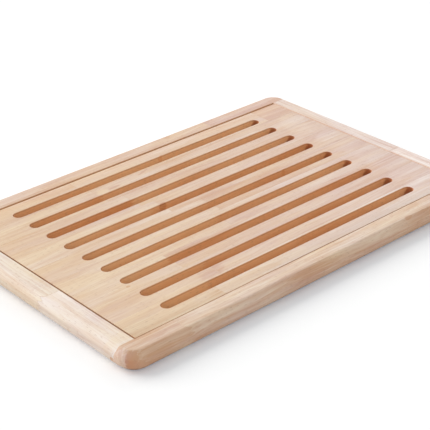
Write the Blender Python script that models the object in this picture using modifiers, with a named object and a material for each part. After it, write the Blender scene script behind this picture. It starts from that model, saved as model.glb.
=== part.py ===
"""Bread board: a slatted cutting insert lying loose in a shallow crumb tray, all of glued rubberwood.

+X runs along the board, +Y to its back and +Z up. The origin is the middle of the underside.
"""
import math

import bmesh
import bpy
from mathutils import Matrix, Vector

# Board
BOARD_LENGTH = 0.475
BOARD_WIDTH = 0.322
BOARD_THICKNESS = 0.020
CORNER_RADIUS = 0.020
EDGE_CHAMFER = 0.0065
CREASE_ROUNDING = 0.0012

# Tray: rails with a ledge under the insert and a groove for the floor's tongue
RAIL_WIDTH = 0.0228
LEDGE_WIDTH = 0.0050
CRUMB_DEPTH = 0.0045
TONGUE_THICKNESS = 0.0020
TONGUE_LENGTH = 0.0045
FLOOR_STAVES = 9

# Insert, pushed towards the front and right of its pocket
INSERT_THICKNESS = 0.0100
GAP_LEFT = 0.00125
GAP_RIGHT = 0.00045
GAP_FRONT = 0.0005
GAP_BACK = 0.0025
INSERT_STAVES = 9
EDGE_EASING = 0.0005

# Slots, evenly spread between the insert's margins
SLOTS = 9
SLOT_WIDTH = 0.0110
SLOT_END_MARGIN = 0.0476
SLOT_SIDE_MARGIN = 0.0162

# Joints: glue lines, and finger joints where a stave or rail is made up of two lengths. The rearmost
# stave has a third: an end block, from a short land past the slot
GLUE_GAP = 0.0003
SEAT_GAP = 0.0003
FINGER_PITCH = 0.0035
FINGER_LENGTH = 0.0060
FINGER_GAP = 0.0006
END_BLOCK_LAND = 0.0095

# Where the finger joints are: staves by the slots' length, rails by the board's
STAVE_JOINT_SHARES = (-0.250, -0.235, -0.180, -0.135, -0.020, -0.060, -0.325, -0.270, -0.330)
FRONT_RAIL_JOINT_SHARE = -0.360
BACK_RAIL_JOINT_SHARE = 0.250
LEFT_RAIL_JOINT_SHARE = -0.095
RIGHT_RAIL_JOINT_SHARE = -0.135

# How far a cutter or a blank runs past what it cuts or is cut by
OVERRUN = 0.004
WELD_DISTANCE = 0.000001

ARC_STEPS = 12
FLAT_ANGLE = math.radians(0.5)
CREASE_ANGLE = math.radians(30)
SMOOTH_ANGLE = math.radians(25)

# Finish: oiled rubberwood in four tones, each stave or rail length in its own
WOOD_ROUGHNESS = 0.55
WOOD_COLOURS = {'pale': (0.79, 0.63, 0.49), 'mid': (0.74, 0.56, 0.42), 'warm': (0.71, 0.51, 0.36),
                'dark': (0.62, 0.42, 0.29)}
RAIL_TONES = {'front_rail': ('warm', 'mid'), 'back_rail': ('mid', 'warm'), 'left_rail': ('pale', 'mid'),
              'right_rail': ('pale', 'mid')}
FLOOR_TONES = ('mid', 'pale', 'warm', 'mid')
INSERT_TONES = (('mid', 'mid', 'dark'), ('mid', 'mid'), ('warm', 'mid'), ('pale', 'pale'), ('mid', 'mid'),
                ('warm', 'pale'), ('mid', 'mid'), ('warm', 'mid'), ('mid', 'pale'))

# Derived places
HALF_LENGTH = BOARD_LENGTH / 2
HALF_WIDTH = BOARD_WIDTH / 2
WALL_X = HALF_LENGTH - RAIL_WIDTH
WALL_Y = HALF_WIDTH - RAIL_WIDTH
LEDGE_X = WALL_X - LEDGE_WIDTH
LEDGE_Y = WALL_Y - LEDGE_WIDTH
LEDGE_TOP = BOARD_THICKNESS - INSERT_THICKNESS - SEAT_GAP
FLOOR_TOP = LEDGE_TOP - CRUMB_DEPTH
TONGUE_LOW = (FLOOR_TOP - TONGUE_THICKNESS) / 2
TONGUE_HIGH = TONGUE_LOW + TONGUE_THICKNESS
TONGUE_Y = LEDGE_Y + TONGUE_LENGTH
INSERT_LEFT = -WALL_X + GAP_LEFT
INSERT_RIGHT = WALL_X - GAP_RIGHT
INSERT_FRONT = -WALL_Y + GAP_FRONT
INSERT_BACK = WALL_Y - GAP_BACK
INSERT_X = (INSERT_LEFT + INSERT_RIGHT) / 2
INSERT_Y = (INSERT_FRONT + INSERT_BACK) / 2
INSERT_WIDTH = INSERT_BACK - INSERT_FRONT
SLOT_LENGTH = INSERT_RIGHT - INSERT_LEFT - 2 * SLOT_END_MARGIN
SLOT_PITCH = (INSERT_WIDTH - 2 * SLOT_SIDE_MARGIN - SLOT_WIDTH) / (SLOTS - 1)
INSERT_BOTTOM = BOARD_THICKNESS - INSERT_THICKNESS


def clear_scene():
    for item in list(bpy.data.objects):
        bpy.data.objects.remove(item, do_unlink=True)


def new_collection(name):
    made = bpy.data.collections.new(name)
    bpy.context.scene.collection.children.link(made)
    return made


def prism_mesh(name, outline, low, high, turn):
    """A closed mesh: a flat outline run from low to high.

    turn carries the outline's plane and the run's direction to the board's axes.
    """
    curve = bpy.data.curves.new(name, 'CURVE')
    curve.dimensions = '2D'
    curve.fill_mode = 'BOTH'
    curve.extrude = (high - low) / 2
    spline = curve.splines.new('POLY')
    spline.points.add(len(outline) - 1)
    for point, (u, v) in zip(spline.points, outline):
        point.co = (u, v, 0, 1)
    spline.use_cyclic_u = True
    holder = bpy.data.objects.new(name, curve)
    bpy.context.scene.collection.objects.link(holder)
    depsgraph = bpy.context.evaluated_depsgraph_get()
    mesh = bpy.data.meshes.new_from_object(holder.evaluated_get(depsgraph))
    bpy.data.objects.remove(holder, do_unlink=True)
    bpy.data.curves.remove(curve)
    mesh.transform(turn @ Matrix.Translation((0, 0, (low + high) / 2)))
    form = bmesh.new()
    form.from_mesh(mesh)
    bmesh.ops.remove_doubles(form, verts=form.verts, dist=WELD_DISTANCE)
    bmesh.ops.dissolve_limit(form, angle_limit=FLAT_ANGLE, verts=form.verts, edges=form.edges)
    bmesh.ops.recalc_face_normals(form, faces=form.faces)
    form.to_mesh(mesh)
    form.free()
    mesh.name = name
    return mesh


def box_mesh(name, low, high):
    """A box between two opposite corners."""
    low = Vector(low)
    high = Vector(high)
    form = bmesh.new()
    bmesh.ops.create_cube(form, size=1, matrix=Matrix.LocRotScale((low + high) / 2, None, high - low))
    mesh = bpy.data.meshes.new(name)
    form.to_mesh(mesh)
    form.free()
    return mesh


# Outlines in X and Y run along Z; in Y and Z along X; in X and Z along Y
ALONG_Z = Matrix.Identity(4)
ALONG_X = Matrix(((0, 0, 1, 0), (1, 0, 0, 0), (0, 1, 0, 0), (0, 0, 0, 1)))
ALONG_Y = Matrix(((1, 0, 0, 0), (0, 0, -1, 0), (0, 1, 0, 0), (0, 0, 0, 1)))


def place(mesh, collection, parent=None):
    item = bpy.data.objects.new(mesh.name, mesh)
    collection.objects.link(item)
    if parent is not None:
        item.parent = parent
        item.matrix_parent_inverse = Matrix.Translation(-parent.location)
    return item


def place_tool(mesh):
    tool = place(mesh, cutters)
    tool.hide_render = True
    tool.display_type = 'WIRE'
    return tool


def add_bevel(item, width, segments):
    bevel = item.modifiers.new('bevel', 'BEVEL')
    bevel.width = width
    bevel.segments = segments
    bevel.limit_method = 'ANGLE'
    bevel.angle_limit = CREASE_ANGLE
    bevel.use_clamp_overlap = False


def add_boolean(item, tool, operation='INTERSECT'):
    boolean = item.modifiers.new(operation.lower() + '_' + tool.name, 'BOOLEAN')
    boolean.operation = operation
    boolean.solver = 'EXACT'
    boolean.object = tool


def arc(centre_u, centre_v, radius, start, turn):
    points = []
    for step in range(ARC_STEPS + 1):
        angle = start + turn * step / ARC_STEPS
        points.append((centre_u + radius * math.cos(angle), centre_v + radius * math.sin(angle)))
    return points


def rounded_rectangle(half_u, half_v, radius):
    quarter = math.pi / 2
    points = []
    for number, (side_u, side_v) in enumerate(((1, 1), (-1, 1), (-1, -1), (1, -1))):
        centre_u = side_u * (half_u - radius)
        centre_v = side_v * (half_v - radius)
        points += arc(centre_u, centre_v, radius, number * quarter, quarter)
    return points


def slot_outline(centre_v):
    """A round-ended slot along X."""
    radius = SLOT_WIDTH / 2
    reach = SLOT_LENGTH / 2 - radius
    right = arc(INSERT_X + reach, centre_v, radius, -math.pi / 2, math.pi)
    left = arc(INSERT_X - reach, centre_v, radius, math.pi / 2, math.pi)
    return right + left


def slot_centres():
    return [INSERT_Y + ((SLOTS - 1) / 2 - number) * SLOT_PITCH for number in range(SLOTS)]


def finger_line(along, low, high):
    """Points up a finger joint from low to high, run on straight past both."""
    count = max(1, round((high - low) / FINGER_PITCH))
    points = [(along, low - OVERRUN), (along, low)]
    for number in range(count):
        points.append((along + FINGER_LENGTH, low + (number + 1 / 2) * (high - low) / count))
        points.append((along, low + (number + 1) * (high - low) / count))
    points.append((along, high + OVERRUN))
    return points


def length_outline(start, end, low, high, start_fingers, end_fingers):
    """One length of a stave or rail, seen from its side, with fingers at either end or neither."""
    if end_fingers:
        rising = finger_line(end - FINGER_GAP / 2, low, high)
    else:
        rising = [(end, low - OVERRUN), (end, high + OVERRUN)]
    if start_fingers:
        falling = finger_line(start + FINGER_GAP / 2, low, high)
    else:
        falling = [(start, low - OVERRUN), (start, high + OVERRUN)]
    return rising + falling[::-1]


def rail_section(half, wall, ledge):
    """A rail's section as places across and up: pocket wall, ledge and groove, open to the outside."""
    groove = ledge + TONGUE_LENGTH + GLUE_GAP
    groove_low = TONGUE_LOW - GLUE_GAP
    groove_high = TONGUE_HIGH + GLUE_GAP
    past = half + OVERRUN
    return [(past, -OVERRUN), (past, BOARD_THICKNESS + OVERRUN), (wall, BOARD_THICKNESS + OVERRUN),
            (wall, LEDGE_TOP), (ledge, LEDGE_TOP), (ledge, groove_high), (groove, groove_high),
            (groove, groove_low), (ledge, groove_low), (ledge, -OVERRUN)]


def coped_end():
    """Half of a short rail seen from its side: it fits over the long rail's ledge and into its groove."""
    wall = WALL_Y - GLUE_GAP
    ledge = LEDGE_Y - GLUE_GAP
    return [(ledge, -OVERRUN), (ledge, TONGUE_LOW), (TONGUE_Y, TONGUE_LOW), (TONGUE_Y, TONGUE_HIGH),
            (ledge, TONGUE_HIGH), (ledge, LEDGE_TOP + GLUE_GAP), (wall, LEDGE_TOP + GLUE_GAP),
            (wall, BOARD_THICKNESS + OVERRUN)]


def mirrored(outline):
    return [(-u, v) for u, v in reversed(outline)]


def wood(name, tone):
    colour = WOOD_COLOURS[tone]
    material = bpy.data.materials.new(name + '_wood')
    material.use_nodes = True
    shader = material.node_tree.nodes['Principled BSDF']
    shader.inputs['Base Color'].default_value = colour + (1,)
    shader.inputs['Roughness'].default_value = WOOD_ROUGHNESS
    shader.inputs['Metallic'].default_value = 0
    material.diffuse_color = colour + (1,)
    return material


def finish_piece(item, tone):
    item.data.materials.clear()
    item.data.materials.append(wood(item.name, tone))
    item.data.shade_smooth()
    item.data.set_sharp_from_angle(angle=SMOOTH_ANGLE)


def pocket_flare():
    """A tapered block that eases the pocket's top edge: its sides slope at 45 degrees."""
    low_x = WALL_X - OVERRUN
    low_y = WALL_Y - OVERRUN
    mesh = box_mesh('pocket_flare', (-low_x, -low_y, BOARD_THICKNESS - EDGE_EASING - OVERRUN),
                    (low_x, low_y, BOARD_THICKNESS + OVERRUN))
    spread = EDGE_EASING + 2 * OVERRUN
    for vertex in mesh.vertices:
        if vertex.co.z > BOARD_THICKNESS:
            vertex.co.x += math.copysign(spread, vertex.co.x)
            vertex.co.y += math.copysign(spread, vertex.co.y)
    return place_tool(mesh)


def make_tray_block():
    """The tray's outer shape: round corners, rims chamfered, creases softened, pocket's edge eased."""
    outline = rounded_rectangle(HALF_LENGTH, HALF_WIDTH, CORNER_RADIUS)
    block = place_tool(prism_mesh('tray_block', outline, 0, BOARD_THICKNESS, ALONG_Z))
    add_bevel(block, EDGE_CHAMFER, 1)
    add_bevel(block, CREASE_ROUNDING, 2)
    add_boolean(block, pocket_flare(), 'DIFFERENCE')
    return block


def slot_cutter(number, centre_y):
    """Cuts one slot, and flares beyond both faces of the insert to ease the slot's edges."""
    mesh = prism_mesh('slot_cutter_' + str(number), slot_outline(centre_y), INSERT_BOTTOM - OVERRUN,
                      BOARD_THICKNESS + OVERRUN, ALONG_Z)
    form = bmesh.new()
    form.from_mesh(mesh)
    for height in (INSERT_BOTTOM + EDGE_EASING, BOARD_THICKNESS - EDGE_EASING):
        everything = form.verts[:] + form.edges[:] + form.faces[:]
        bmesh.ops.bisect_plane(form, geom=everything, dist=WELD_DISTANCE, plane_co=(0, 0, height),
                               plane_no=(0, 0, 1))
    reach = (SLOT_LENGTH - SLOT_WIDTH) / 2
    for vertex in form.verts:
        if not INSERT_BOTTOM < vertex.co.z < BOARD_THICKNESS:
            spine_x = min(max(vertex.co.x, INSERT_X - reach), INSERT_X + reach)
            away = Vector((vertex.co.x - spine_x, vertex.co.y - centre_y, 0)).normalized()
            vertex.co += away * (EDGE_EASING + OVERRUN)
    form.to_mesh(mesh)
    form.free()
    return place_tool(mesh)


def make_insert_panel():
    """The insert as one machined panel, with its slots and eased edges, that the staves are cut by."""
    panel = place_tool(box_mesh('insert_panel', (INSERT_LEFT, INSERT_FRONT, INSERT_BOTTOM),
                                (INSERT_RIGHT, INSERT_BACK, BOARD_THICKNESS)))
    add_bevel(panel, EDGE_EASING, 2)
    for number, centre_y in enumerate(slot_centres(), 1):
        add_boolean(panel, slot_cutter(number, centre_y), 'DIFFERENCE')
    return panel


def make_floor_panel():
    """The tray's floor as one panel, with a tongue on all four sides."""
    plate_x = LEDGE_X - GLUE_GAP
    plate_y = LEDGE_Y - GLUE_GAP
    panel = place_tool(box_mesh('floor_panel', (-plate_x, -plate_y, 0), (plate_x, plate_y, FLOOR_TOP)))
    tongue_x = LEDGE_X + TONGUE_LENGTH
    tongue = place_tool(box_mesh('floor_tongue', (-tongue_x, -TONGUE_Y, TONGUE_LOW),
                                 (tongue_x, TONGUE_Y, TONGUE_HIGH)))
    add_boolean(panel, tongue, 'UNION')
    return panel


def make_long_rail(name, side, joint_share, block):
    """A front or back rail, the full length of the board, in a left and a right length."""
    section = [(side * y, z) for y, z in rail_section(HALF_WIDTH, WALL_Y, LEDGE_Y)]
    joint = joint_share * BOARD_LENGTH
    past = HALF_LENGTH + OVERRUN
    lengths = (('left', length_outline(-past, joint, 0, BOARD_THICKNESS, False, True)),
               ('right', length_outline(joint, past, 0, BOARD_THICKNESS, True, False)))
    for (end, outline), tone in zip(lengths, RAIL_TONES[name]):
        zone = prism_mesh(name + '_' + end + '_zone', outline, -HALF_WIDTH - OVERRUN,
                          HALF_WIDTH + OVERRUN, ALONG_Y)
        rail = place(prism_mesh(name + '_' + end, section, -past, past, ALONG_X), parts, tray)
        add_boolean(rail, block)
        add_boolean(rail, place_tool(zone))
        finish_piece(rail, tone)


def make_short_rail(name, side, joint_share, block, cope):
    """A left or right rail, coped between the long ones, in a front and a back length."""
    section = [(side * x, z) for x, z in rail_section(HALF_LENGTH, WALL_X, LEDGE_X)]
    joint = joint_share * BOARD_WIDTH
    lengths = (('front', length_outline(-HALF_WIDTH, joint, 0, BOARD_THICKNESS, False, True)),
               ('back', length_outline(joint, HALF_WIDTH, 0, BOARD_THICKNESS, True, False)))
    for (end, outline), tone in zip(lengths, RAIL_TONES[name]):
        zone = prism_mesh(name + '_' + end + '_zone', outline, -HALF_LENGTH - OVERRUN,
                          HALF_LENGTH + OVERRUN, ALONG_X)
        rail = place(prism_mesh(name + '_' + end, section, -HALF_WIDTH, HALF_WIDTH, ALONG_Y),
                     parts, tray)
        add_boolean(rail, block)
        add_boolean(rail, cope)
        add_boolean(rail, place_tool(zone))
        finish_piece(rail, tone)


def stave_bounds(low, high, count):
    """Splits a width into equal staves, back to front, with a glue gap between neighbours.

    The outermost staves' blanks run past the panel that cuts them.
    """
    edges = [low + (high - low) * number / count for number in range(count + 1)]
    bounds = []
    for number in range(count):
        front = edges[number] - OVERRUN if number == 0 else edges[number] + GLUE_GAP / 2
        back = edges[number + 1] + OVERRUN if number == count - 1 else edges[number + 1] - GLUE_GAP / 2
        bounds.append((front, back))
    return bounds[::-1]


def make_floor_staves(panel):
    for number, (front, back) in enumerate(stave_bounds(-TONGUE_Y, TONGUE_Y, FLOOR_STAVES), 1):
        blank = box_mesh('floor_stave_' + str(number), (-HALF_LENGTH, front, -OVERRUN),
                         (HALF_LENGTH, back, FLOOR_TOP + OVERRUN))
        stave = place(blank, parts, tray)
        add_boolean(stave, panel)
        finish_piece(stave, FLOOR_TONES[(number - 1) % len(FLOOR_TONES)])


def make_insert_staves(panel):
    """The insert's staves, back to front, each of two lengths; the rearmost has an end block too."""
    for number, (front, back) in enumerate(stave_bounds(INSERT_FRONT, INSERT_BACK, INSERT_STAVES), 1):
        order = (number - 1) % len(STAVE_JOINT_SHARES)
        ends = [INSERT_LEFT - OVERRUN, INSERT_X + STAVE_JOINT_SHARES[order] * SLOT_LENGTH]
        names = ['left', 'right']
        if number == 1:
            ends.append(INSERT_X + SLOT_LENGTH / 2 + END_BLOCK_LAND)
            names.append('end')
        ends.append(INSERT_RIGHT + OVERRUN)
        for name, start, end, tone in zip(names, ends, ends[1:], INSERT_TONES[order]):
            outline = length_outline(start, end, INSERT_BOTTOM, BOARD_THICKNESS, name != 'left',
                                     name != names[-1])
            blank = prism_mesh('insert_stave_' + str(number) + '_' + name, outline, -back, -front, ALONG_Y)
            stave = place(blank, parts, insert)
            add_boolean(stave, panel)
            finish_piece(stave, tone)


clear_scene()
parts = new_collection('bread_board')
cutters = new_collection('cutters')

tray = bpy.data.objects.new('tray', None)
parts.objects.link(tray)
insert = bpy.data.objects.new('insert', None)
insert.location = (INSERT_X, INSERT_Y, INSERT_BOTTOM)
parts.objects.link(insert)

tray_block = make_tray_block()
cope_half = coped_end()
cope_tool = place_tool(prism_mesh('cope', cope_half + mirrored(cope_half), -HALF_LENGTH - OVERRUN,
                                  HALF_LENGTH + OVERRUN, ALONG_X))
make_long_rail('front_rail', -1, FRONT_RAIL_JOINT_SHARE, tray_block)
make_long_rail('back_rail', 1, BACK_RAIL_JOINT_SHARE, tray_block)
make_short_rail('left_rail', -1, LEFT_RAIL_JOINT_SHARE, tray_block, cope_tool)
make_short_rail('right_rail', 1, RIGHT_RAIL_JOINT_SHARE, tray_block, cope_tool)
make_floor_staves(make_floor_panel())
make_insert_staves(make_insert_panel())
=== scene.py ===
"""The bread board's looks: rubberwood on its staves and rails, its glue lines, a studio and a camera."""

import math

import bmesh
import bpy
from mathutils import Matrix, Vector


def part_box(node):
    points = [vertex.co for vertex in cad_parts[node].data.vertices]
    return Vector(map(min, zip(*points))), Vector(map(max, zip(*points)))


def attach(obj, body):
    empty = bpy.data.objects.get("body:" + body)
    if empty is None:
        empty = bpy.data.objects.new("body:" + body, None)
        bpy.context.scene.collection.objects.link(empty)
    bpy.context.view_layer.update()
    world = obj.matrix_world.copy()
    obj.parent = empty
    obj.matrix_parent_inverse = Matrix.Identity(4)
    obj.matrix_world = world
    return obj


MM = 0.001

# Camera, at the photograph's angle: its place in metres, its angles in degrees, its sensor in mm
IMAGE_SIDE = 430
FOCAL_PIXELS = 1322.6
SENSOR_WIDTH = 36.0
CAMERA_PLACE = (-0.77845, -0.88946, 0.64459)
CAMERA_AZIMUTH = -41.184
CAMERA_ELEVATION = 28.425
CAMERA_ROLL = -1.157

# Light: a broad key from the back left, a weaker lamp from the back right, and a surrounding that is
# white where it is seen and dimmer as a light; directions as X, Y, Z, spreads in degrees
AMBIENT = 0.585
BACKDROP = 1.0
KEY_TOWARDS = (-0.31, 0.79, 0.475)
KEY_SPREAD = 56.0
KEY_STRENGTH = 2.05
RIM_TOWARDS = (0.70, 0.56, 0.44)
RIM_SPREAD = 30.0
RIM_STRENGTH = 0.42
WHITE = (1, 1, 1, 1)

# Floor: its side in metres, how far it lies under the board, its colour as the board sees it and as the
# camera sees it, and the light that lifts it to white for the camera
FLOOR_SIDE = 40.0
FLOOR_DROP = 0.2 * MM
FLOOR_COLOUR = (0.820, 0.800, 0.780)
FLOOR_SEEN = (1.000, 0.950, 0.890)
FLOOR_LIFT = (0.076, 0.129, 0.184)

# Rubberwood, from pale to dark in honey and in rose, its pores, its milled walls, whose orange is partly
# painted shade and bounce light, their scorch, partly painted shade, the painted shade in the gaps, and
# what end grain is multiplied by
HONEY_PALE = (0.875, 0.732, 0.535)
HONEY_DARK = (0.655, 0.395, 0.215)
ROSE_PALE = (0.864, 0.770, 0.712)
ROSE_DARK = (0.615, 0.385, 0.300)
PORE = (0.40, 0.22, 0.13)
# The milled walls' orange is partly the oil they hold and partly painted shade and bounce light
CUT_PALE = (1.000, 0.618, 0.330)
CUT_DARK = (0.880, 0.428, 0.182)
# Burnt colour of knots and slot ends, also the painted shade deep in the slots' ends and under their lips
BURN_AND_SHADE = (0.390, 0.115, 0.035)
# Painted shade for the gap round the insert
GAP_SHADE = (0.480, 0.290, 0.180)
END_TINT = (0.95, 0.82, 0.74)

# Each length's tone, from 0, pale, to 1, dark, its blush, from 0, honey, to 1, rose, its cut walls' tone,
# and how strong its figure is
WOODS = {
    'front_rail_left': (0.56, 0.30, 0.50, 2.0), 'front_rail_right': (0.54, 0.42, 0.50, 2.0),
    'back_rail_left': (0.80, 0.42, 0.40, 1.3), 'back_rail_right': (0.90, 0.85, 0.40, 1.3),
    'left_rail_front': (0.15, 0.68, 0.50, 1.5), 'left_rail_back': (0.15, 0.46, 0.50, 1.5),
    'right_rail_front': (0.24, 1.05, 0.50, 2.0), 'right_rail_back': (0.44, 0.82, 0.50, 1.8),
    'insert_stave_1_left': (0.73, 0.23, 0.40, 1.0), 'insert_stave_1_right': (0.64, 0.18, 0.20, 1.0),
    'insert_stave_1_end': (0.89, 0.25, 0.50, 1.0),
    'insert_stave_2_left': (0.63, 0.37, 0.55, 1.0), 'insert_stave_2_right': (0.64, 0.34, 0.35, 1.0),
    'insert_stave_3_left': (0.65, 0.42, 0.75, 1.0), 'insert_stave_3_right': (0.69, 0.39, 0.25, 1.0),
    'insert_stave_4_left': (0.55, 0.38, 0.20, 1.0), 'insert_stave_4_right': (0.67, 0.34, 0.60, 1.0),
    'insert_stave_5_left': (0.62, 0.35, 0.45, 1.0), 'insert_stave_5_right': (0.74, 0.34, 0.45, 1.0),
    'insert_stave_6_left': (0.58, 0.30, 0.20, 1.0), 'insert_stave_6_right': (0.59, 0.54, 0.25, 1.0),
    'insert_stave_7_left': (0.57, 0.37, 0.20, 1.0), 'insert_stave_7_right': (0.74, 0.49, 0.60, 1.0),
    'insert_stave_8_left': (0.63, 0.40, 0.30, 1.0), 'insert_stave_8_right': (0.66, 0.58, 0.45, 1.0),
    'insert_stave_9_left': (0.55, 0.20, 0.20, 1.0), 'insert_stave_9_right': (0.49, 0.48, 0.50, 1.0),
}
FLOOR_WOODS = ((0.35, 0.3, 0.5, 1.0), (0.28, 0.4, 0.5, 1.0), (0.42, 0.3, 0.5, 1.0), (0.38, 0.5, 0.5, 1.0))
GLUE_WOOD = (0.65, 0.4, 0.5, 1.0)

# The insert grows darker and rosier to the right, by this much a millimetre
TONE_DRIFT = 0.0003
BLUSH_DRIFT = 0.0014

# Marks in the wood: middle X and Y, half length and half width in mm, turn in degrees, and what they add
# to tone and blush; those that add more tone than KNOT are knots, burnt a little
KNOT = 0.8
KNOT_BURN = 0.3
MARKS = (
    # Figure on the slats and in the slots' walls
    (-55, 96.5, 8, 2.4, 0, 0.37, 0.3),
    (-69, 96, 7, 5, 0, -0.17, -0.3),
    (-10, 103, 9, 1.3, 18, 0.41, 0.2),
    (20, 13, 30, 6, 0, 0.21, 0.2),
    (8, -41, 26, 6, 0, 0.17, 0.2),
    (-80, -49, 32, 3, 0, 0.17, 0.2),
    (-94, -101, 16, 8, 10, 0.29, 0.3),
    (-166, -68, 2.2, 1.8, 0, 0.41, -0.2),
    (27, 119.5, 4, 1.2, 20, 0.5, 0),
    (-75, 62, 16, 1.5, 0, 0.33, 0),
    (-45, 33.5, 10, 1.5, 0, 0.3, 0),
    (-41, 33.6, 4.5, 1.8, 0, 0.9, 0),
    (101, 4.5, 4, 1.0, 20, 0.5, 0),
    (2, -24.3, 30, 0.8, 0, 0.25, 0),
    # Front and back margins
    (-75, -131, 45, 6, 0, 0.17, -0.2),
    (155, -131, 45, 7, 0, -0.15, 0.15),
    (50, 131, 38, 5, 0, -0.15, 0.05),
    (-100, 131, 14, 5, 0, -0.1, 0.1),
    # Left margin
    (-195, 96, 30, 6, 0, -0.15, 0),
    (-195, 54, 32, 6.5, 0, 0.1, 0.1),
    (-195, 33, 32, 10.5, 0, -0.1, -0.1),
    (-195, -12, 34, 11, 0, 0.12, 0.2),
    (-195, 11, 32, 8, 0, -0.14, 0),
    (-195, -36, 34, 9.5, 0, -0.1, -0.1),
    (-195, -90, 34, 10, 0, 0.1, 0.1),
    (-195, -129, 60, 7, 0, 0.05, -0.25),
    (-195, -70, 32, 8, 0, -0.12, 0),
    # Right margin
    (195, 112, 30, 5, 0, 0.09, 0.2),
    (195, 30, 20, 8, 0, -0.12, 0.05),
    (195, -108, 24, 8, 0, -0.1, 0.15),
    (192, 80, 16, 26, -20, -0.17, -0.1),
    (195, 14, 26, 1, 0, 0.29, 0.1),
    (195, -55, 26, 1, 0, 0.29, 0.1),
    (150, -75, 60, 14, 0, 0.07, 0.1),
    (200, -30, 24, 90, 0, -0.07, 0.15),
    # Rails
    (-150, 151, 50, 14, 0, -0.20, 0.1),
    (-212, -150, 24, 16, 0, 0.12, 0),
    (-90, -147, 80, 7, 0, -0.16, 0),
    (165, -147, 22, 7, 0, -0.05, 0.2),
    (190, 149, 32, 8, 0, -0.1, 0.1),
    (-224, -65, 12, 16, 0, 0.06, -0.15),
    (-224, 0, 12, 24, 0, 0.12, -0.1),
    (224, 45, 12, 20, 0, 0.1, -0.1),
    (63, 152, 4, 3, 0, 0.29, 0.1),
    (124, 153, 8, 3, 0, 0.17, 0.1),
    (117, -155, 5, 2, 0, 0.41, 0),
    # Near corner, with its whorl
    (-230.3, -153.8, 5.5, 4.5, -35, 0.79, 0.1),
    (-240, -146, 9, 10, 0, -0.35, 0.55),
)

# A mark's ragged edge: length and width of its teeth in mm, and how deep they are; then where it has
# faded out, where it is whole, and how far it can reach, all in its own half lengths
TOOTH = (14.0, 2.2)
TOOTH_DEPTH = 1.2
MARK_FADE = (1.2, 0.7)
MARK_REACH = 1.5

# Grain: length and width of its bends in mm, their detail and their depth in mm; then each length's place
# in its log, as start, step and room in mm along the log, across it and away from the pith
BEND = (140.0, 45.0)
BEND_DETAIL = 1.0
BEND_DEPTH = 14.0
LOG = ((0, 613.0, 4000), (-45, 37.0, 90), (35, 23.0, 50))

# Growth rings to a millimetre, their detail and roughness; then the other figures: length and width in
# mm, detail and roughness
RINGS = 0.33
RING_DETAIL = 3.0
RING_ROUGHNESS = 0.6
FIGURES = {
    'streak': (170.0, 6.0, 3.0, 0.6),
    'blotch': (80.0, 22.0, 1.0, 0.5),
    'strand': (40.0, 1.7, 2.0, 0.6),
    'fibre': (22.0, 0.55, 2.0, 0.6),
    'hue': (80.0, 14.0, 2.0, 0.6),
}

# How much of each figure the faces' tone, the cut walls' tone and the blush take
TONE_FIGURE = {'ring': 0.40, 'streak': 0.65, 'blotch': 0.50, 'strand': 0.45, 'fibre': 0.42}
WALL_FIGURE = {'streak': 0.9, 'blotch': 1.2, 'strand': 0.6, 'fibre': 0.4}
BLUSH_FIGURE = {'hue': 1.5}

# Pores: length and width of their cells in mm, where in a cell one ends, which cells have one, and how
# dark it is
PORE_CELL = (7.0, 0.8)
PORE_END = (0.16, 0.30)
PORE_CHANCE = (0.55, 0.75)
PORE_DARKNESS = 0.45

# Surface: roughness, what the fibres add to it, their height for a pore's depth of 1, that depth and how
# strongly it shows, and the gloss
ROUGHNESS = 0.44
FIBRE_ROUGHNESS = 0.20
FIBRE_HEIGHT = 0.5
RELIEF = 0.1 * MM
RELIEF_STRENGTH = 0.35
SPECULAR = 0.5

# The pairs below are limits between which an effect comes or goes: heights and places in mm, and for
# faces a part of their normal

# The insert's cut walls, whose orange is partly painted shade and bounce light: how far up or down they
# face, how far back those face that are less cut, being lit by the key, and how much; then the half sides
# of the area that holds the slots
WALL_UP = (0.72, 0.95)
WALL_BACK = (0.2, 0.9)
BACK_CUT = 0.3
SLOTS_X = (170.0, 172.0)
SLOTS_Y = (130.0, 132.0)

# Scorch at the slots' ends, partly burnt by the router and partly painted shade, by how far a wall has
# turned, wider deep in the slot, and painted shade on the slot's lip
SCORCH_SHADE_TURN = (0.38, 1.00)
SCORCH_SHADE_START = (0.02, 0.25)
SCORCH_SHADE_STRENGTH = 0.85
SCORCH_SHADE_HEIGHT = (20.0, 12.0)
SCORCH_SHADE_WIDENING = 0.50
LIP_SHADE_HEIGHT = (17.8, 19.5)
LIP_SHADE_TURN = (0.15, 0.75)
LIP_SHADE_STRENGTH = (0.45, 0.95)

# Painted shade in the gap round the insert, and how much less there is at the left of its front
GAP_SHADE_AMOUNT = 0.9
FAINT_GAP_SHARE = 0.8
FAINT_GAP_X = (-30.0, -90.0)
FAINT_GAP_Y = (-130.0, -134.0)

# Rails: their inner faces, which are cut and carry painted shade from the gap, their chamfers and their
# outer faces; the front rail's outer faces, on the shaded front, are painted darker and rosier than its
# top, as painted shade, and the back rail's are paler than its top
RAIL_INNER = (0.5, 0.9)
RAIL_GAP_SHADE = 0.5
RAIL_CHAMFER = (-0.3, -0.7)
RAIL_OUTER = (-0.75, -0.98)
OUTER_SHADING = {'front_rail': 0.21, 'back_rail': -0.2}
SHADING_BLUSH = 1.2

# End grain: how far along the grain it faces
END_FACE = (0.30, 0.80)

# The way into the board from each rail; the floor has no cut faces, and the insert's are all upright ones
INWARD = {
    'front_rail': (0, 1, 0), 'back_rail': (0, -1, 0), 'left_rail': (1, 0, 0), 'right_rail': (-1, 0, 0),
    'floor_stave': (0, 0, 0), 'insert_stave': None,
}

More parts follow.
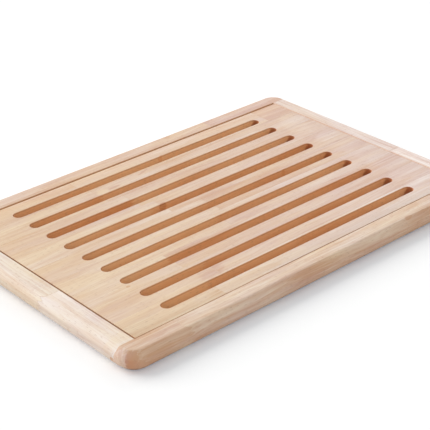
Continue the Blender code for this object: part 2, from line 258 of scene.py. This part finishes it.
# Board's own sizes, as its solids have them
STAVES = 9
EDGE_CHAMFER = 6.5 * MM
CREASE_ROUNDING = 1.2 * MM
CREASE_DEPTH = CREASE_ROUNDING / 5
EDGE_EASING = 0.5 * MM
SLOT_WIDTH = 11.0 * MM
SLOT_PITCH = 28.75 * MM
LEDGE_WIDTH = 5.0 * MM
TONGUE_LENGTH = 4.5 * MM
TONGUE_THICKNESS = 2.0 * MM
GLUE_GAP = 0.3 * MM
FINGER_GAP = 0.6 * MM
FINGER_PITCH = 3.5 * MM

# Glue lines stand this far back from the faces round them, and this clear of the wood and of the fingers;
# their looks are numbered on from the nodes'
GLUE_SET_BACK = 0.05 * MM
GLUE_CLEAR = 0.01 * MM
FINGER_CLEAR = 3 * GLUE_CLEAR
INSERT_GLUE_NUMBER = 40
TRAY_GLUE_NUMBER = 41

# Points nearer than this are one, and edges sharper than this stay sharp
WELD = 0.01 * MM
SMOOTH_ANGLE = math.radians(25)

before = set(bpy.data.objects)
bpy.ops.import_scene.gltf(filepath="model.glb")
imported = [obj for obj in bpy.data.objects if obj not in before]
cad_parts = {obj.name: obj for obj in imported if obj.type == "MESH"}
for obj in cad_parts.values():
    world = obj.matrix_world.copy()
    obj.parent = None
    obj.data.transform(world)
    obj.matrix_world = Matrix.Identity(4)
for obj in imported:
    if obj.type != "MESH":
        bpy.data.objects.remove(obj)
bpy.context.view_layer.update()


def node(tree, kind, inputs=None, **settings):
    """Adds a node; inputs maps a socket's name or number to a value or to the output that feeds it."""
    made = tree.nodes.new(kind)
    for name, value in settings.items():
        setattr(made, name, value)
    for key, value in (inputs or {}).items():
        if isinstance(value, bpy.types.NodeSocket):
            tree.links.new(value, made.inputs[key])
        else:
            made.inputs[key].default_value = value
    return made


def maths(tree, operation, first, second=0.0, third=0.0, clamp=False):
    """The result of a Math node."""
    made = node(tree, 'ShaderNodeMath', {0: first, 1: second, 2: third}, operation=operation,
                use_clamp=clamp)
    return made.outputs[0]


def vector(tree, operation, first, second=(0, 0, 0)):
    """The result of a Vector Math node."""
    made = node(tree, 'ShaderNodeVectorMath', {0: first, 1: second}, operation=operation)
    return made.outputs['Value' if operation in ('LENGTH', 'DOT_PRODUCT') else 'Vector']


def spread(tree, value, low, high, to_low=0.0, to_high=1.0):
    """A value between low and high, eased to another range."""
    made = node(tree, 'ShaderNodeMapRange', {'Value': value, 'From Min': low, 'From Max': high,
                                             'To Min': to_low, 'To Max': to_high},
                interpolation_type='SMOOTHSTEP')
    return made.outputs['Result']


def stretched(tree, place, along, across):
    """A place in the wood, measured in lengths of the figure along and across the grain."""
    return vector(tree, 'MULTIPLY', place, (1 / along, 1 / across, 1 / across))


def noise(tree, place, detail=2.0, roughness=0.5):
    """Noise round 0.5, with patches about one unit across."""
    made = node(tree, 'ShaderNodeTexNoise', {'Vector': place, 'Scale': 1.0, 'Detail': detail,
                                             'Roughness': roughness})
    return made.outputs['Fac']


def blend(tree, factor, first, second, kind='MIX'):
    """A mix of two colours, of which each is three numbers or an output."""
    first, second = (colour + (1,) if isinstance(colour, tuple) else colour for colour in (first, second))
    # The node's inputs 6 and 7 and its output 2 are the ones for colours
    made = node(tree, 'ShaderNodeMix', {0: factor, 6: first, 7: second}, data_type='RGBA',
                blend_type=kind)
    return made.outputs[2]


def figured(tree, level, strength, figures, shares):
    """A level from 0 to 1, with its share of each figure added."""
    for name, share in shares.items():
        change = maths(tree, 'MULTIPLY', maths(tree, 'SUBTRACT', figures[name], 0.5), share)
        level = maths(tree, 'MULTIPLY_ADD', change, strength, level)
    return maths(tree, 'MAXIMUM', maths(tree, 'MINIMUM', level, 1.0), 0.0)


def new_group(name, inputs, outputs):
    """A node group with sockets of the given names and kinds, and its two end nodes."""
    group = bpy.data.node_groups.new(name, 'ShaderNodeTree')
    for direction, sockets in (('INPUT', inputs), ('OUTPUT', outputs)):
        for socket, kind in sockets.items():
            group.interface.new_socket(socket, in_out=direction, socket_type='NodeSocket' + kind)
    return group, group.nodes.new('NodeGroupInput').outputs, group.nodes.new('NodeGroupOutput').inputs


def make_rubberwood():
    """Node group: solid rubberwood in millimetres, with the grain along X.

    Growth rings lie round a far-off pith; streaks, fibres and pores run along the grain, so that the ends
    show end grain.
    """
    group, inside, outside = new_group(
        'rubberwood',
        {'Grain': 'Vector', 'Tone': 'Float', 'Blush': 'Float', 'Wall': 'Float', 'Figure': 'Float',
         'Cut': 'Float', 'BurnAndShade': 'Float', 'GapShade': 'Float', 'End': 'Float'},
        {'Colour': 'Color', 'Roughness': 'Float', 'Height': 'Float'})
    grain = inside['Grain']

    # The grain wanders a few millimetres along its length
    wander = node(group, 'ShaderNodeTexNoise', {'Vector': stretched(group, grain, *BEND), 'Scale': 1.0,
                                                'Detail': BEND_DETAIL}).outputs['Color']
    centred = vector(group, 'SUBTRACT', wander, (0.5, 0.5, 0.5))
    bends = vector(group, 'MULTIPLY', centred, (0.0, BEND_DEPTH, BEND_DEPTH))
    bent = vector(group, 'ADD', grain, bends)

    radius = vector(group, 'LENGTH', vector(group, 'MULTIPLY', bent, (0, 1, 1)))
    ring = node(group, 'ShaderNodeTexNoise', {'W': radius, 'Scale': RINGS, 'Detail': RING_DETAIL,
                                              'Roughness': RING_ROUGHNESS}, noise_dimensions='1D')
    figures = {name: noise(group, stretched(group, bent, length, width), detail, roughness)
               for name, (length, width, detail, roughness) in FIGURES.items()}
    figures['ring'] = ring.outputs['Fac']

    strength = inside['Figure']
    tone = figured(group, inside['Tone'], strength, figures, TONE_FIGURE)
    wall = figured(group, inside['Wall'], strength, figures, WALL_FIGURE)
    blush = figured(group, inside['Blush'], 1.0, figures, BLUSH_FIGURE)
    body = blend(group, blush, blend(group, tone, HONEY_PALE, HONEY_DARK),
                 blend(group, tone, ROSE_PALE, ROSE_DARK))

    # Milled walls drink more oil, and their deeper orange is partly painted shade and bounce light; they
    # are scorched at the slots' ends, with painted shade there; the gaps get painted shade; end grain is
    # darker
    body = blend(group, inside['Cut'], body, blend(group, wall, CUT_PALE, CUT_DARK))
    body = blend(group, inside['End'], body, blend(group, 1.0, body, END_TINT, 'MULTIPLY'))
    body = blend(group, inside['BurnAndShade'], body, BURN_AND_SHADE)
    body = blend(group, inside['GapShade'], body, GAP_SHADE)

    # Pores: short dark dashes on the faces, dots on the ends
    cells = node(group, 'ShaderNodeTexVoronoi', {'Vector': stretched(group, bent, *PORE_CELL),
                                                 'Scale': 1.0})
    chance = node(group, 'ShaderNodeSeparateColor', {0: cells.outputs['Color']}).outputs[0]
    pore = maths(group, 'MULTIPLY', spread(group, cells.outputs['Distance'], *PORE_END, 1.0, 0.0),
                 spread(group, chance, *PORE_CHANCE))
    body = blend(group, maths(group, 'MULTIPLY', pore, PORE_DARKNESS), body, PORE)

    rough = maths(group, 'MULTIPLY_ADD', figures['fibre'], FIBRE_ROUGHNESS, ROUGHNESS)
    height = maths(group, 'SUBTRACT', maths(group, 'MULTIPLY', figures['fibre'], FIBRE_HEIGHT), pore)
    group.links.new(body, outside['Colour'])
    group.links.new(rough, outside['Roughness'])
    group.links.new(height, outside['Height'])
    return group


def make_mark():
    """Node group: how far a place is inside a ragged oval patch that runs through the wood."""
    group, inside, outside = new_group('mark', {'Place': 'Vector', 'Middle': 'Vector', 'Reach': 'Vector',
                                                'Turn': 'Float'}, {'Amount': 'Float'})
    centred = vector(group, 'SUBTRACT', inside['Place'], inside['Middle'])
    turned = node(group, 'ShaderNodeVectorRotate', {'Vector': centred, 'Angle': inside['Turn']},
                  rotation_type='Z_AXIS').outputs[0]
    scaled = vector(group, 'DIVIDE', turned, inside['Reach'])
    away = vector(group, 'LENGTH', vector(group, 'MULTIPLY', scaled, (1, 1, 0)))
    teeth = maths(group, 'SUBTRACT', noise(group, stretched(group, inside['Place'], *TOOTH)), 0.5)
    away = maths(group, 'MULTIPLY_ADD', teeth, TOOTH_DEPTH, away)
    group.links.new(spread(group, away, *MARK_FADE), outside['Amount'])
    return group


def marks_on(name):
    """The marks that reach a node's box."""
    low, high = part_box(name)
    found = []
    for entry in MARKS:
        x, y, long_reach, short_reach = (value * MM for value in entry[:4])
        reach = MARK_REACH * max(long_reach, short_reach)
        if low.x - reach < x < high.x + reach and low.y - reach < y < high.y + reach:
            found.append(entry)
    return found


def insert_faces(tree, spot, facing, lengthwise):
    """How far the insert's faces are cut, burnt and given painted shade at the slots' ends, and in the
    gap.
    """
    across, along, height = spot
    cut = spread(tree, maths(tree, 'ABSOLUTE', facing[2]), *WALL_UP, 1.0, 0.0)
    cut = maths(tree, 'MULTIPLY', cut, spread(tree, facing[1], *WALL_BACK, 1.0, BACK_CUT))
    outer = maths(tree, 'MAXIMUM', spread(tree, maths(tree, 'ABSOLUTE', across), *SLOTS_X),
                  spread(tree, maths(tree, 'ABSOLUTE', along), *SLOTS_Y))

    # The slots' walls are burnt where they turn round the ends, and given painted shade that widens
    # deeper in the slot and under their lips
    depth = spread(tree, height, *SCORCH_SHADE_HEIGHT)
    scorch_shade = spread(tree, maths(tree, 'MULTIPLY_ADD', depth, SCORCH_SHADE_WIDENING, lengthwise), *SCORCH_SHADE_TURN)
    scorch_shade = maths(tree, 'MULTIPLY', scorch_shade,
                   spread(tree, lengthwise, *SCORCH_SHADE_START, 0.0, SCORCH_SHADE_STRENGTH))
    lip_shade = maths(tree, 'MULTIPLY', spread(tree, height, *LIP_SHADE_HEIGHT),
                spread(tree, lengthwise, *LIP_SHADE_TURN, *LIP_SHADE_STRENGTH))
    inner = maths(tree, 'MULTIPLY', cut, maths(tree, 'SUBTRACT', 1.0, outer))
    burn_and_shade = maths(tree, 'MULTIPLY', maths(tree, 'MAXIMUM', scorch_shade, lip_shade), inner)

    # The insert's outer edge, seen through the gap, gets painted shade, but for the left of its front
    faint_gap = maths(tree, 'MULTIPLY', spread(tree, along, *FAINT_GAP_Y), spread(tree, across, *FAINT_GAP_X))
    gap_shade = maths(tree, 'MULTIPLY', maths(tree, 'MULTIPLY_ADD', faint_gap, -FAINT_GAP_SHARE, GAP_SHADE_AMOUNT), outer)
    gap_shade = maths(tree, 'MULTIPLY', gap_shade, cut)
    faint_gap = maths(tree, 'MULTIPLY', faint_gap, outer)
    cut = maths(tree, 'MULTIPLY_ADD', faint_gap, -FAINT_GAP_SHARE, cut, clamp=True)
    return cut, burn_and_shade, gap_shade


def rail_faces(tree, normal, inward, shading):
    """How far a rail's faces are cut, their painted gap shade, and the painted shading of its outer
    faces.
    """
    looking = vector(tree, 'DOT_PRODUCT', normal, inward)
    cut = maths(tree, 'ADD', spread(tree, looking, *RAIL_INNER),
                spread(tree, looking, *RAIL_CHAMFER, 0.0, shading))
    gap_shade = spread(tree, looking, *RAIL_INNER, 0.0, RAIL_GAP_SHADE)
    outer_shading = spread(tree, looking, *RAIL_OUTER, 0.0, shading)
    return cut, gap_shade, outer_shading


def make_wood(name, number, levels, along_y=False, inward=None, shading=0.0, marks=()):
    """One length's own wood: its levels, its marks, and its place in the log that it was cut from.

    Its cut faces are those that look inward, or where that is None, all upright ones. Its outer faces are
    made darker and rosier than its top by the given amount, as painted shade on the front rail, and paler
    where the amount is below 0
    """
    material = bpy.data.materials.new(name)
    material.use_nodes = True
    tree = material.node_tree
    shader = tree.nodes['Principled BSDF']
    where = node(tree, 'ShaderNodeTexCoord').outputs
    place = vector(tree, 'MULTIPLY', where['Object'], (1 / MM,) * 3)
    facing = node(tree, 'ShaderNodeSeparateXYZ', {0: where['Normal']}).outputs
    lengthwise = maths(tree, 'ABSOLUTE', facing[1] if along_y else facing[0])
    log = tuple(start + number * step % room for start, step, room in LOG)
    turn = (0, 0, -math.pi / 2) if along_y else (0, 0, 0)
    grain = node(tree, 'ShaderNodeMapping', {'Vector': place, 'Location': log, 'Rotation': turn})

    tone, blush, wall, figure = levels
    if inward is None:
        spot = node(tree, 'ShaderNodeSeparateXYZ', {0: place}).outputs
        cut, burn_and_shade, gap_shade = insert_faces(tree, spot, facing, lengthwise)
        tone = maths(tree, 'MULTIPLY_ADD', spot[0], TONE_DRIFT, tone)
        blush = maths(tree, 'MULTIPLY_ADD', spot[0], BLUSH_DRIFT, blush)
    else:
        burn_and_shade = 0.0
        cut, gap_shade, outer_shading = rail_faces(tree, where['Normal'], inward, shading)
        # Outer faces get the given shading: darker and rosier, as painted shade on the front rail, and
        # paler where it is below 0
        tone = maths(tree, 'ADD', outer_shading, tone)
        blush = maths(tree, 'MULTIPLY_ADD', outer_shading, SHADING_BLUSH, blush)
    for x, y, long_reach, short_reach, turned, darker, redder in marks:
        amount = node(tree, 'ShaderNodeGroup', {
            'Place': place, 'Middle': (x, y, 0), 'Reach': (long_reach, short_reach, 1),
            'Turn': -math.radians(turned)}, node_tree=mark).outputs[0]
        tone = maths(tree, 'MULTIPLY_ADD', amount, darker, tone)
        blush = maths(tree, 'MULTIPLY_ADD', amount, redder, blush)
        wall = maths(tree, 'MULTIPLY_ADD', amount, darker, wall)
        if darker > KNOT:
            burn_and_shade = maths(tree, 'MULTIPLY_ADD', amount, KNOT_BURN, burn_and_shade, clamp=True)

    end = spread(tree, lengthwise, *END_FACE)
    wood = node(tree, 'ShaderNodeGroup', {
        'Grain': grain.outputs[0], 'Tone': tone, 'Blush': blush, 'Wall': wall, 'Figure': figure,
        'Cut': cut, 'BurnAndShade': burn_and_shade, 'GapShade': gap_shade, 'End': end}, node_tree=rubberwood).outputs
    bump = node(tree, 'ShaderNodeBump', {'Height': wood['Height'], 'Strength': RELIEF_STRENGTH,
                                         'Distance': RELIEF})
    shader.inputs['Specular IOR Level'].default_value = SPECULAR
    tree.links.new(wood['Colour'], shader.inputs['Base Color'])
    tree.links.new(wood['Roughness'], shader.inputs['Roughness'])
    tree.links.new(bump.outputs[0], shader.inputs['Normal'])
    return material


def make_smoothing():
    """Modifier group: welds a mesh and shades it smooth, but for its sharp edges."""
    group = bpy.data.node_groups.new('smoothing', 'GeometryNodeTree')
    group.interface.new_socket('Geometry', in_out='INPUT', socket_type='NodeSocketGeometry')
    group.interface.new_socket('Geometry', in_out='OUTPUT', socket_type='NodeSocketGeometry')
    inside = group.nodes.new('NodeGroupInput')
    outside = group.nodes.new('NodeGroupOutput')
    weld = node(group, 'GeometryNodeMergeByDistance', {'Geometry': inside.outputs[0], 'Distance': WELD})
    angle = node(group, 'GeometryNodeInputMeshEdgeAngle').outputs['Unsigned Angle']
    sharp = node(group, 'FunctionNodeCompare', {0: angle, 1: SMOOTH_ANGLE}, operation='GREATER_THAN')
    shade = node(group, 'GeometryNodeSetMeshNormal', {'Mesh': weld.outputs[0], 'Remove Custom': True,
                                                      'Edge Sharpness': sharp.outputs[0]})
    group.links.new(shade.outputs[0], outside.inputs[0])
    return group


def dress_nodes():
    """Every stave and rail gets its own wood and smooth round corners."""
    for number, name in enumerate(sorted(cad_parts), 1):
        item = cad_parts[name]
        kind = '_'.join(name.split('_')[:2])
        levels = WOODS.get(name, FLOOR_WOODS[number % len(FLOOR_WOODS)])
        along_y = kind in ('left_rail', 'right_rail')
        item.data.materials[0] = make_wood(name + '_wood', number, levels, along_y, INWARD[kind],
                                           OUTER_SHADING.get(kind, 0.0), marks_on(name))
        modifier = item.modifiers.new('smoothing', 'NODES')
        modifier.node_group = smoothing


def place_at(side, z):
    """A side's place at a height: a side is one place, or (height, place) points in rising order."""
    if not isinstance(side, list):
        return side
    for (low, first), (high, second) in zip(side, side[1:]):
        if z <= high:
            return first + (second - first) * max(0.0, z - low) / max(high - low, WELD)
    return side[-1][1]


def add_sheet(form, west, east, south, north, low, high):
    """Adds a thin closed sheet between four sides and two heights."""
    sides = (west, east, south, north)
    heights = {low, high}
    for side in sides:
        if isinstance(side, list):
            heights.update(z for z, _ in side if low + WELD < z < high - WELD)
    rings = []
    for z in sorted(heights):
        left, right, front, back = (place_at(side, z) for side in sides)
        corners = ((left, front), (right, front), (right, back), (left, back))
        rings.append([form.verts.new((x, y, z)) for x, y in corners])
    for below, above in zip(rings, rings[1:]):
        for side in range(4):
            after = (side + 1) % 4
            form.faces.new((below[side], below[after], above[after], above[side]))
    form.faces.new(rings[0][::-1])
    form.faces.new(rings[-1])


def shifted(side, distance):
    """A side of (height, place) points, moved."""
    return [(z, place + distance) for z, place in side]


def fingers(first, second, low, high, axis):
    """The two faces of the glue in a finger joint between two heights, from one node to the next."""
    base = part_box(second)[0][axis] - FINGER_GAP / 2
    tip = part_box(first)[1][axis] + FINGER_GAP / 2
    count = round((high - low) / FINGER_PITCH)
    middle = []
    for number in range(count):
        middle.append((low + number * (high - low) / count, base))
        middle.append((low + (number + 0.5) * (high - low) / count, tip))
    middle.append((high, base))
    half = FINGER_GAP / 2 - FINGER_CLEAR
    return shifted(middle, -half), shifted(middle, half)


def add_glue(name, form, body, number):
    """Makes a piece of glue of a form, which rides on a body."""
    bmesh.ops.recalc_face_normals(form, faces=form.faces)
    mesh = bpy.data.meshes.new(name)
    form.to_mesh(mesh)
    form.free()
    item = bpy.data.objects.new(name, mesh)
    bpy.context.scene.collection.objects.link(item)
    mesh.materials.append(make_wood(name + '_wood', number, GLUE_WOOD))
    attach(item, body)


def glue_insert():
    """Glue lines between the insert's staves, and in their finger joints."""
    form = bmesh.new()
    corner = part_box('insert_stave_9_left')[0]
    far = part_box('insert_stave_1_end')[1]
    bottom, top = corner.z, far.z
    low, high = bottom + GLUE_SET_BACK, top - GLUE_SET_BACK

    def eased(place, side):
        """A face at a place, set back to the given side, with eased top and bottom edges."""
        place += side * GLUE_SET_BACK
        return [(bottom, place + side * EDGE_EASING), (bottom + EDGE_EASING, place),
                (top - EDGE_EASING, place), (top, place + side * EDGE_EASING)]

    middle_y = (corner.y + far.y) / 2
    for number in range(1, STAVES + 1):
        names = ['insert_stave_' + str(number) + end for end in ('_left', '_right')]
        front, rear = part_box(names[0])[0].y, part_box(names[0])[1].y
        if number < STAVES:
            next_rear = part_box('insert_stave_' + str(number + 1) + '_left')[1].y
            add_sheet(form, eased(corner.x, 1), eased(far.x, -1), next_rear + GLUE_CLEAR,
                      front - GLUE_CLEAR, low, high)
        front = eased(front, 1) if number == STAVES else front + GLUE_CLEAR
        rear = eased(rear, -1) if number == 1 else rear - GLUE_CLEAR
        slot = middle_y + ((STAVES + 1) / 2 - number) * SLOT_PITCH
        joint = fingers(*names, bottom, top, 0)
        add_sheet(form, *joint, front, eased(slot - SLOT_WIDTH / 2, -1), low, high)
        add_sheet(form, *joint, eased(slot + SLOT_WIDTH / 2, 1), rear, low, high)
        if number == 1:
            joint = fingers(names[1], 'insert_stave_1_end', bottom, top, 0)
            add_sheet(form, *joint, front, rear, low, high)
    add_glue('insert_glue', form, 'insert', INSERT_GLUE_NUMBER)


def glue_tray():
    """Glue lines in the rails' finger joints, at the tray's corners and round the floor's staves."""
    form = bmesh.new()
    half_x, half_y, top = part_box('back_rail_right')[1]
    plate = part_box('floor_stave_1')[1]
    floor_top = plate.z
    ledge_x, ledge_y = plate.x - TONGUE_LENGTH, plate.y - TONGUE_LENGTH
    wall_x, wall_y = ledge_x + LEDGE_WIDTH, ledge_y + LEDGE_WIDTH
    ledge_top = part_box('insert_stave_1_left')[0].z - GLUE_GAP
    tongue_low = (floor_top - TONGUE_THICKNESS) / 2
    tongue_high = tongue_low + TONGUE_THICKNESS
    low, high = GLUE_SET_BACK, top - GLUE_SET_BACK

    # The chamfers as (height, inset) points, with their creases rounded
    slant = CREASE_ROUNDING * math.sqrt(0.5)
    rim = [(0, EDGE_CHAMFER + CREASE_ROUNDING), (CREASE_DEPTH, EDGE_CHAMFER),
           (slant, EDGE_CHAMFER - slant), (EDGE_CHAMFER - slant, slant),
           (EDGE_CHAMFER, CREASE_DEPTH), (EDGE_CHAMFER + CREASE_ROUNDING, 0)]
    rim += [(top - z, inset) for z, inset in reversed(rim)]

    def outer(side, half):
        """The board's chamfered edge on one side."""
        return [(z, side * (half - inset - GLUE_SET_BACK)) for z, inset in rim]

    def inner(side, wall, ledge):
        """A rail's inner faces: the floor's groove, the ledge and the pocket's wall."""
        groove = ledge + TONGUE_LENGTH + GLUE_GAP
        steps = [(0, ledge), (tongue_low - GLUE_GAP, groove), (tongue_high + GLUE_GAP, ledge),
                 (ledge_top, wall)]
        points = []
        for (z, place), (end, _) in zip(steps, steps[1:] + [(top, wall)]):
            points += [(z + WELD, side * (place + GLUE_SET_BACK)), (end, side * (place + GLUE_SET_BACK))]
        return points

    for rail, side in (('front_rail', -1), ('back_rail', 1)):
        faces = [inner(side, wall_y, ledge_y), outer(side, half_y)][::side]
        add_sheet(form, *fingers(rail + '_left', rail + '_right', 0, top, 0), *faces, low, high)
    for rail, side in (('left_rail', -1), ('right_rail', 1)):
        faces = [inner(side, wall_x, ledge_x), outer(side, half_x)][::side]
        add_sheet(form, *faces, *fingers(rail + '_front', rail + '_back', 0, top, 1), low, high)

    # Corners: the short rails' coped ends against the long rails' ledge, groove and wall, as inner and
    # outer Y, bottom and top
    groove_y = plate.y + GLUE_GAP
    seams = ((ledge_y - GLUE_GAP, ledge_y, low, tongue_low),
             (ledge_y, groove_y, tongue_low - GLUE_GAP, tongue_low),
             (plate.y, groove_y, tongue_low, tongue_high),
             (ledge_y, groove_y, tongue_high, tongue_high + GLUE_GAP),
             (ledge_y - GLUE_GAP, ledge_y, tongue_high, ledge_top + GLUE_GAP),
             (ledge_y, wall_y, ledge_top, ledge_top + GLUE_GAP),
             (wall_y - GLUE_GAP, wall_y, ledge_top + GLUE_GAP, high))
    for near, far, bottom, upper in seams:
        inside = wall_x if bottom >= ledge_top else ledge_x
        for side_x in (-1, 1):
            ends = [side_x * (inside + GLUE_SET_BACK), outer(side_x, half_x)][::side_x]
            for side_y in (-1, 1):
                thin = [side_y * (near + GLUE_CLEAR), side_y * (far - GLUE_CLEAR)][::side_y]
                add_sheet(form, *ends, *thin, bottom + GLUE_CLEAR, upper - GLUE_CLEAR)

    # Floor: between its staves, and round its edge underneath
    edge_x, edge_y = ledge_x - GLUE_GAP, ledge_y - GLUE_GAP
    for number in range(1, STAVES):
        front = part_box('floor_stave_' + str(number))[0].y - GLUE_CLEAR
        next_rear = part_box('floor_stave_' + str(number + 1))[1].y + GLUE_CLEAR
        add_sheet(form, -edge_x, edge_x, next_rear, front, low, floor_top - GLUE_SET_BACK)
    under = tongue_low - GLUE_GAP - GLUE_SET_BACK
    for side in (-1, 1):
        thin = [side * (edge_y + GLUE_CLEAR), side * (ledge_y - GLUE_CLEAR)][::side]
        add_sheet(form, -ledge_x, ledge_x, *thin, low, under)
        thin = [side * (edge_x + GLUE_CLEAR), side * (ledge_x - GLUE_CLEAR)][::side]
        add_sheet(form, *thin, -edge_y, edge_y, low, under)
    add_glue('tray_glue', form, 'tray', TRAY_GLUE_NUMBER)


def make_camera():
    """The camera, at the photograph's viewing angle."""
    data = bpy.data.cameras.new('camera')
    data.sensor_width = SENSOR_WIDTH
    data.lens = FOCAL_PIXELS / IMAGE_SIDE * SENSOR_WIDTH
    camera = bpy.data.objects.new('camera', data)
    bpy.context.scene.collection.objects.link(camera)
    turn = Matrix.Rotation(math.radians(CAMERA_AZIMUTH), 4, 'Z')
    tilt = Matrix.Rotation(math.radians(90 - CAMERA_ELEVATION), 4, 'X')
    roll = Matrix.Rotation(math.radians(CAMERA_ROLL), 4, 'Z')
    camera.matrix_world = Matrix.Translation(CAMERA_PLACE) @ turn @ tilt @ roll
    bpy.context.scene.camera = camera


def make_sun(name, towards, degrees, strength):
    """A far lamp, seen in the given direction and as wide as the given angle."""
    data = bpy.data.lights.new(name, 'SUN')
    data.angle = math.radians(degrees)
    data.energy = strength
    sun = bpy.data.objects.new(name, data)
    bpy.context.scene.collection.objects.link(sun)
    sun.rotation_mode = 'QUATERNION'
    sun.rotation_quaternion = Vector(towards).to_track_quat('Z', 'Y')


def make_surrounding():
    """The world: white to the camera and in gloss, dimmer as a light."""
    world = bpy.data.worlds.new('studio')
    bpy.context.scene.world = world
    world.use_nodes = True
    tree = world.node_tree
    background = tree.nodes['Background']
    background.inputs['Color'].default_value = WHITE
    rays = node(tree, 'ShaderNodeLightPath').outputs
    seen = maths(tree, 'MAXIMUM', rays['Is Camera Ray'], rays['Is Glossy Ray'])
    seen = maths(tree, 'MAXIMUM', seen, rays['Is Transmission Ray'])
    strength = maths(tree, 'MULTIPLY_ADD', seen, BACKDROP - AMBIENT, AMBIENT)
    tree.links.new(strength, background.inputs['Strength'])


def make_floor():
    """A white floor: the camera sees it a little lifted, with the board's shadow kept."""
    form = bmesh.new()
    bmesh.ops.create_grid(form, x_segments=1, y_segments=1, size=FLOOR_SIDE / 2)
    mesh = bpy.data.meshes.new('floor')
    form.to_mesh(mesh)
    form.free()
    floor = bpy.data.objects.new('floor', mesh)
    floor.location.z = -FLOOR_DROP
    bpy.context.scene.collection.objects.link(floor)
    material = bpy.data.materials.new('floor_white')
    material.use_nodes = True
    tree = material.node_tree
    tree.nodes.remove(tree.nodes['Principled BSDF'])
    rays = node(tree, 'ShaderNodeLightPath').outputs
    colour = blend(tree, rays['Is Camera Ray'], FLOOR_COLOUR, FLOOR_SEEN)
    diffuse = node(tree, 'ShaderNodeBsdfDiffuse', {'Color': colour})
    lift = node(tree, 'ShaderNodeEmission', {'Color': FLOOR_LIFT + (1,),
                                             'Strength': rays['Is Camera Ray']})
    total = node(tree, 'ShaderNodeAddShader', {0: diffuse.outputs[0], 1: lift.outputs[0]})
    tree.links.new(total.outputs[0], tree.nodes['Material Output'].inputs['Surface'])
    mesh.materials.append(material)


rubberwood = make_rubberwood()
mark = make_mark()
smoothing = make_smoothing()
dress_nodes()
glue_insert()
glue_tray()
make_camera()
make_sun('key', KEY_TOWARDS, KEY_SPREAD, KEY_STRENGTH)
make_sun('rim', RIM_TOWARDS, RIM_SPREAD, RIM_STRENGTH)
make_surrounding()
make_floor()
bpy.context.scene.view_settings.view_transform = 'Standard'
